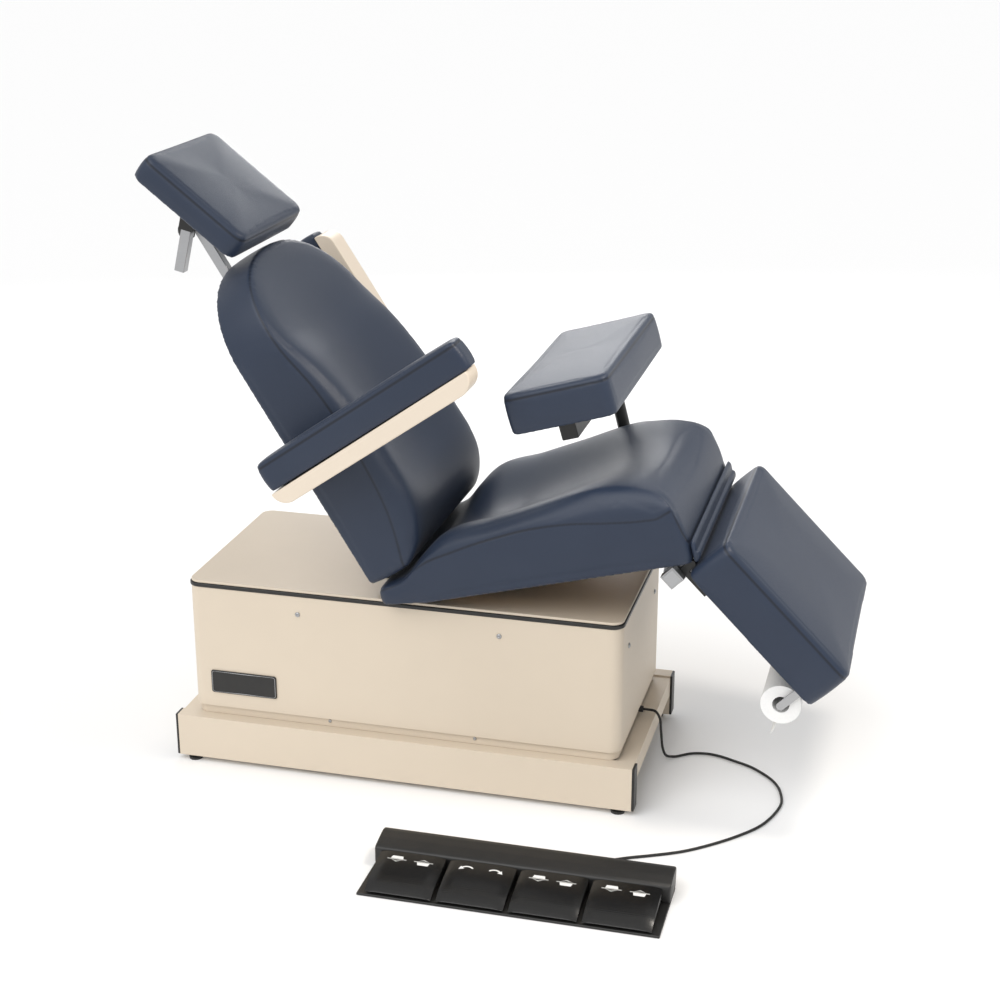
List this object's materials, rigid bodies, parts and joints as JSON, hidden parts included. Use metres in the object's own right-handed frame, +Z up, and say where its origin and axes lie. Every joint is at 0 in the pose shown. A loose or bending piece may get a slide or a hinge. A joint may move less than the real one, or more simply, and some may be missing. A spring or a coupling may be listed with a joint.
{
  "type": "medical exam table",
  "caption": "Powered exam chair with tilting seat, reclining back, leg rest, padded arms, armboard, headrest, paper roll holder, lifting cabinet base and a cabled foot control.",
  "frame": {"origin": "on the floor, under the middle of the whole object's plan box (without the cable)", "axes": "+X toward the foot end, +Y away from the side with the foot control, +Z up"},
  "size_m": [1.7134, 1.191, 1.5004],
  "materials": {
    "cream_paint": "satin",
    "cream_shell": "satin",
    "dark_steel": "satin",
    "black_steel": "satin",
    "bright_steel": "satin",
    "black_plastic": "satin",
    "black_rubber": "matte",
    "navy_vinyl": "satin",
    "plywood": "matte",
    "paper": "matte"
  },
  "bodies": {
    "base": {"base_frame": "cream_paint", "rail_cap_near_head": "black_plastic", "rail_cap_near_foot": "black_plastic", "rail_cap_far_head": "black_plastic", "rail_cap_far_foot": "black_plastic", "levelling_foot_near_head": "black_rubber", "levelling_foot_near_foot": "black_rubber", "levelling_foot_far_head": "black_rubber", "levelling_foot_far_foot": "black_rubber", "inner_shroud": "cream_paint", "column_outer": "dark_steel", "control_box": "black_plastic", "cable_gland": "black_plastic", "cable": "black_rubber", "foot_control_plate": "black_plastic", "foot_control_hood": "black_plastic"},
    "column_stage": {"column_middle": "bright_steel"},
    "lift": {"outer_shroud": "cream_paint", "top_gasket": "black_plastic", "top_plate": "cream_paint", "nameplate_blank": "black_plastic", "column_inner": "bright_steel", "tilt_bearing_near": "dark_steel", "tilt_bearing_far": "dark_steel"},
    "seat": {"tilt_shaft": "bright_steel", "back_hinge_pin": "bright_steel", "back_gearmotor": "black_plastic", "seat_frame": "dark_steel", "seat_board": "plywood", "seat_cushion": "navy_vinyl", "bridging_roll": "navy_vinyl", "leg_cross_tube": "bright_steel", "armboard_socket": "black_steel"},
    "leg_rest": {"leg_frame": "black_steel", "leg_cushion": "navy_vinyl", "paper_holder": "bright_steel"},
    "paper": {"paper_roll": "paper"},
    "armboard_mast": {"armboard_post": "black_steel"},
    "armboard": {"armboard_beam": "black_steel", "armboard_pad": "navy_vinyl"},
    "armboard_screw": {"armboard_knob": "black_plastic"},
    "back": {"back_frame": "dark_steel", "back_board": "plywood", "back_cushion": "navy_vinyl", "head_receiver": "dark_steel", "arm_yoke": "black_steel"},
    "arm_near": {"arm_pad_near": "navy_vinyl", "arm_shell_near": "cream_shell"},
    "arm_far": {"arm_pad_far": "navy_vinyl", "arm_shell_far": "cream_shell"},
    "headrest_bar": {"head_bar": "bright_steel", "head_clamp": "black_steel"},
    "headrest_screw": {"head_clamp_knob": "black_plastic"},
    "headrest_post": {"head_post": "bright_steel"},
    "headrest": {"head_bracket": "bright_steel", "head_cushion": "navy_vinyl"},
    "pedal_back": {"pedal_1": "black_plastic"},
    "pedal_tilt": {"pedal_2": "black_plastic"},
    "pedal_height": {"pedal_3": "black_plastic"},
    "pedal_foot": {"pedal_4": "black_plastic"}
  },
  "joints": [
    {"name": "height", "type": "slide", "parent": "base", "child": "lift", "axis": [0, 0, 1], "range_m": [0, 0.26]},
    {"name": "column_stage_slide", "type": "slide", "parent": "base", "child": "column_stage", "axis": [0, 0, 1], "range_m": [0, 0.13]},
    {"name": "tilt", "type": "hinge", "parent": "lift", "child": "seat", "pos_m": [0.04318, 0.1755, 0.508], "axis": [0, -1, 0], "range_deg": [-14.6, 0]},
    {"name": "recline", "type": "hinge", "parent": "seat", "child": "back", "pos_m": [-0.26882, 0.1755, 0.506], "axis": [0, -1, 0], "range_deg": [-6, 50]},
    {"name": "leg_lift", "type": "hinge", "parent": "seat", "child": "leg_rest", "pos_m": [0.48818, 0.1755, 0.65], "axis": [0, -1, 0], "range_deg": [-3, 39]},
    {"name": "paper_spin", "type": "hinge", "parent": "leg_rest", "child": "paper", "pos_m": [0.69909, 0.1755, 0.30906], "axis": [0, 1, 0], "continuous": true},
    {"name": "armboard_height", "type": "slide", "parent": "seat", "child": "armboard_mast", "axis": [-0.2521, 0, 0.9677], "range_m": [0, 0.08]},
    {"name": "armboard_swivel", "type": "hinge", "parent": "armboard_mast", "child": "armboard", "pos_m": [0.20024, 0.4975, 0.82941], "axis": [-0.2521, 0, 0.9677], "range_deg": [0, 180]},
    {"name": "armboard_knob_turn", "type": "hinge", "parent": "seat", "child": "armboard_screw", "pos_m": [0.27335, 0.5255, 0.54877], "axis": [0, 1, 0], "continuous": true},
    {"name": "near_arm_pivot", "type": "hinge", "parent": "back", "child": "arm_near", "pos_m": [-0.35682, -0.2045, 0.832], "axis": [0, -1, 0], "range_deg": [0, 88]},
    {"name": "far_arm_pivot", "type": "hinge", "parent": "back", "child": "arm_far", "pos_m": [-0.35682, 0.5555, 0.832], "axis": [0, -1, 0], "range_deg": [-88, 0]},
    {"name": "headrest_extend", "type": "slide", "parent": "back", "child": "headrest_bar", "axis": [-0.5255, 0, 0.8508], "range_m": [0, 0.1]},
    {"name": "headrest_knob_turn", "type": "hinge", "parent": "headrest_bar", "child": "headrest_screw", "pos_m": [-0.81857, 0.1835, 1.2759], "axis": [0.8508, 0, 0.5255], "continuous": true},
    {"name": "headrest_post_slide", "type": "slide", "parent": "headrest_bar", "child": "headrest_post", "axis": [0.2317, 0, 0.9728], "range_m": [0, 0.05]},
    {"name": "headrest_tilt", "type": "hinge", "parent": "headrest_post", "child": "headrest", "pos_m": [-0.77982, 0.1755, 1.352], "axis": [0, -1, 0], "range_deg": [-6, 30]},
    {"name": "pedal_back_rock", "type": "hinge", "parent": "base", "child": "pedal_back", "pos_m": [-0.05582, -0.5295, 0.013], "axis": [0, 1, 0], "range_deg": [-3, 3], "stiffness_Nm_per_rad": 6},
    {"name": "pedal_tilt_rock", "type": "hinge", "parent": "base", "child": "pedal_tilt", "pos_m": [0.10618, -0.5295, 0.013], "axis": [0, 1, 0], "range_deg": [-3, 3], "stiffness_Nm_per_rad": 6},
    {"name": "pedal_height_rock", "type": "hinge", "parent": "base", "child": "pedal_height", "pos_m": [0.26818, -0.5295, 0.013], "axis": [0, 1, 0], "range_deg": [-3, 3], "stiffness_Nm_per_rad": 6},
    {"name": "pedal_foot_rock", "type": "hinge", "parent": "base", "child": "pedal_foot", "pos_m": [0.43018, -0.5295, 0.013], "axis": [0, 1, 0], "range_deg": [-3, 3], "stiffness_Nm_per_rad": 6}
  ],
  "couplings": [
    {"joint": "column_stage_slide", "follows": "height", "ratio": 0.5}
  ]
}
